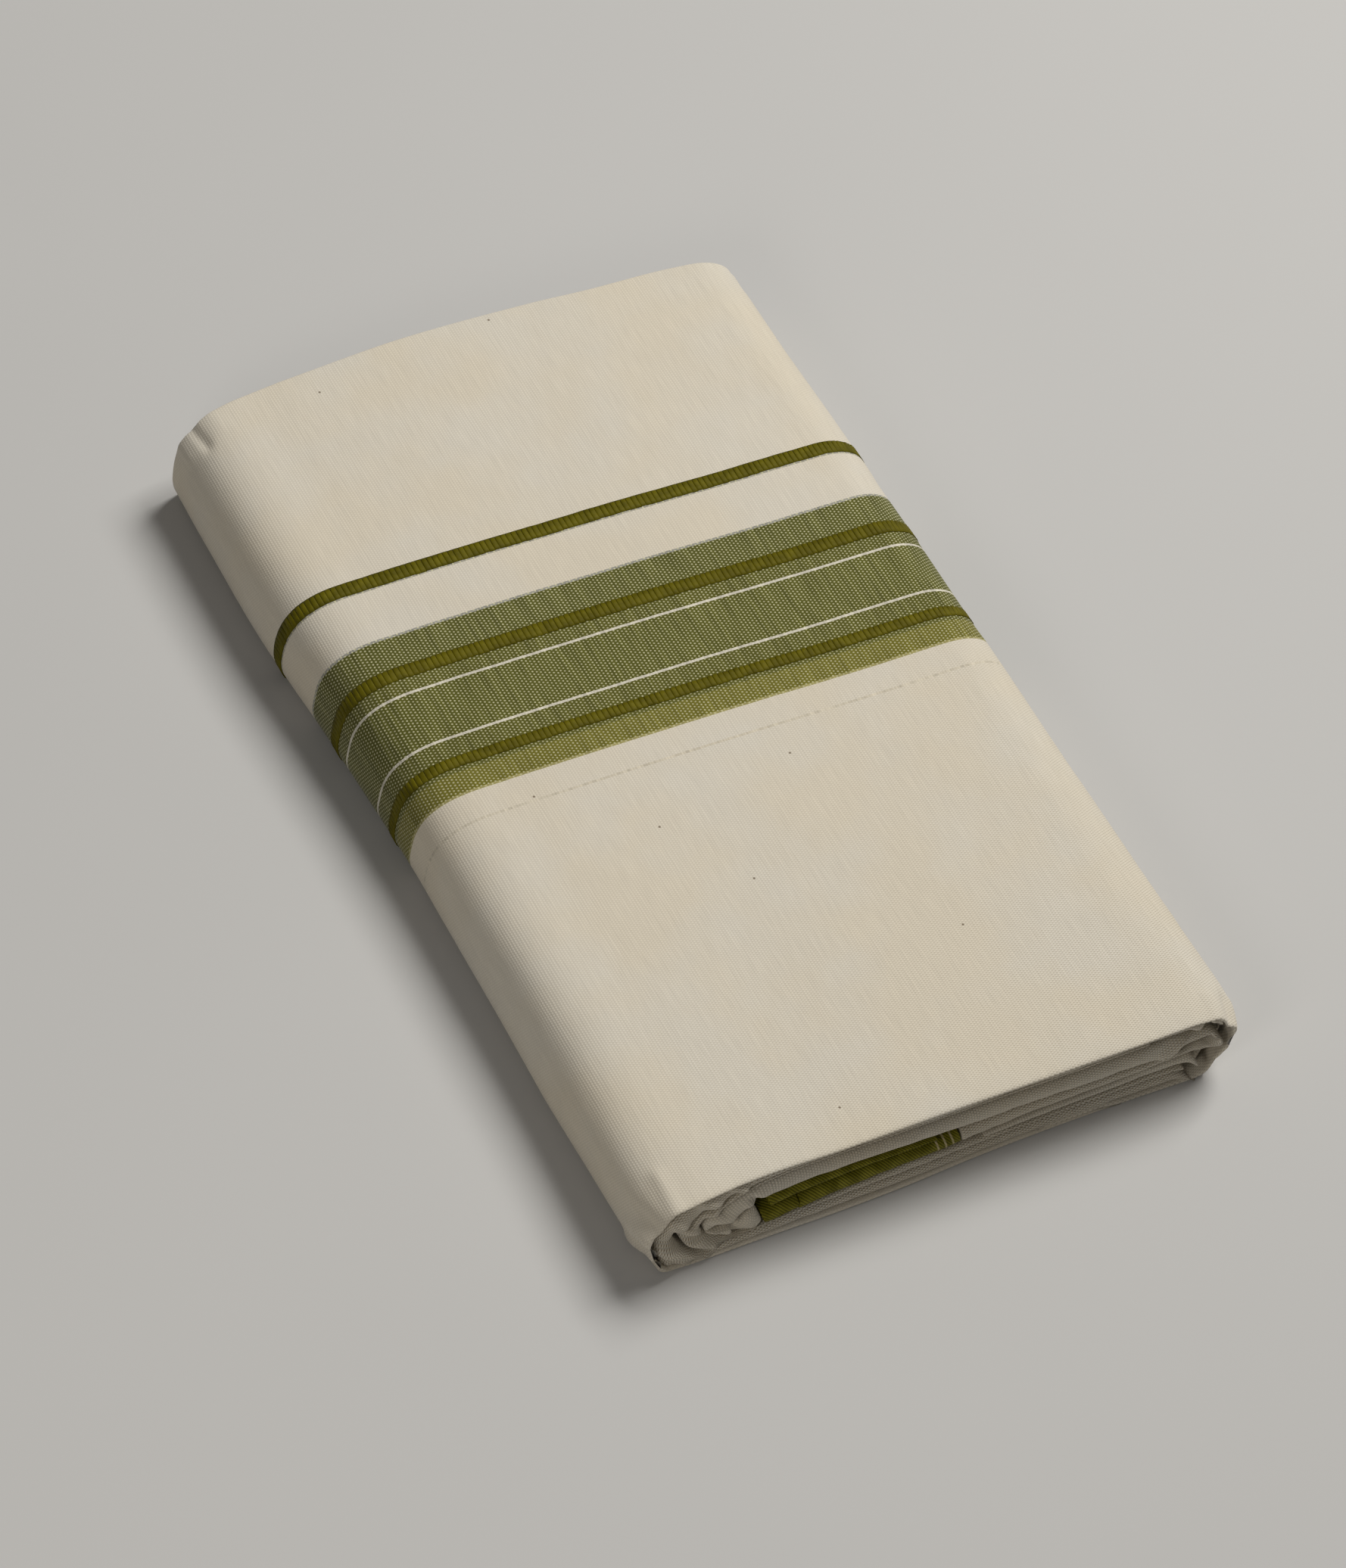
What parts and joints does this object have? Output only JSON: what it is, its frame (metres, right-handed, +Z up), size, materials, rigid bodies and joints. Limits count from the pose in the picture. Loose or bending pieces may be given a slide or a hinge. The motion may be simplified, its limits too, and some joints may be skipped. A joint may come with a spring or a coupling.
{
  "type": "folded dhoti cloth",
  "caption": "New cotton dhoti folded into a flat packet: cream cloth wound round itself, with a woven green border running across it and a green end border showing in the open end.",
  "frame": {"origin": "middle of the packet's footprint, on the surface that it lies on", "axes": "+Y along the packet from the open folds at the near end to the far end, +X across it to the right seen from the near end, +Z up"},
  "size_m": [0.1998, 0.3257, 0.0354],
  "materials": {
    "unbleached_cotton": "plain woven unbleached cotton, matt, with a woven green side border",
    "green_border_cotton": "ribbed green cotton end border with a low sheen",
    "hidden_layers": "plain woven unbleached cotton, folded edges"
  },
  "bodies": {
    "root": {"wrap": "unbleached_cotton", "second_turn": "unbleached_cotton", "third_turn": "unbleached_cotton", "inner_fold": "unbleached_cotton", "inner_tongue": "unbleached_cotton", "middle_fold": "unbleached_cotton", "border_end_upper": "green_border_cotton", "border_end_lower": "green_border_cotton", "border_end_main": "green_border_cotton", "core": "hidden_layers"}
  },
  "joints": []
}
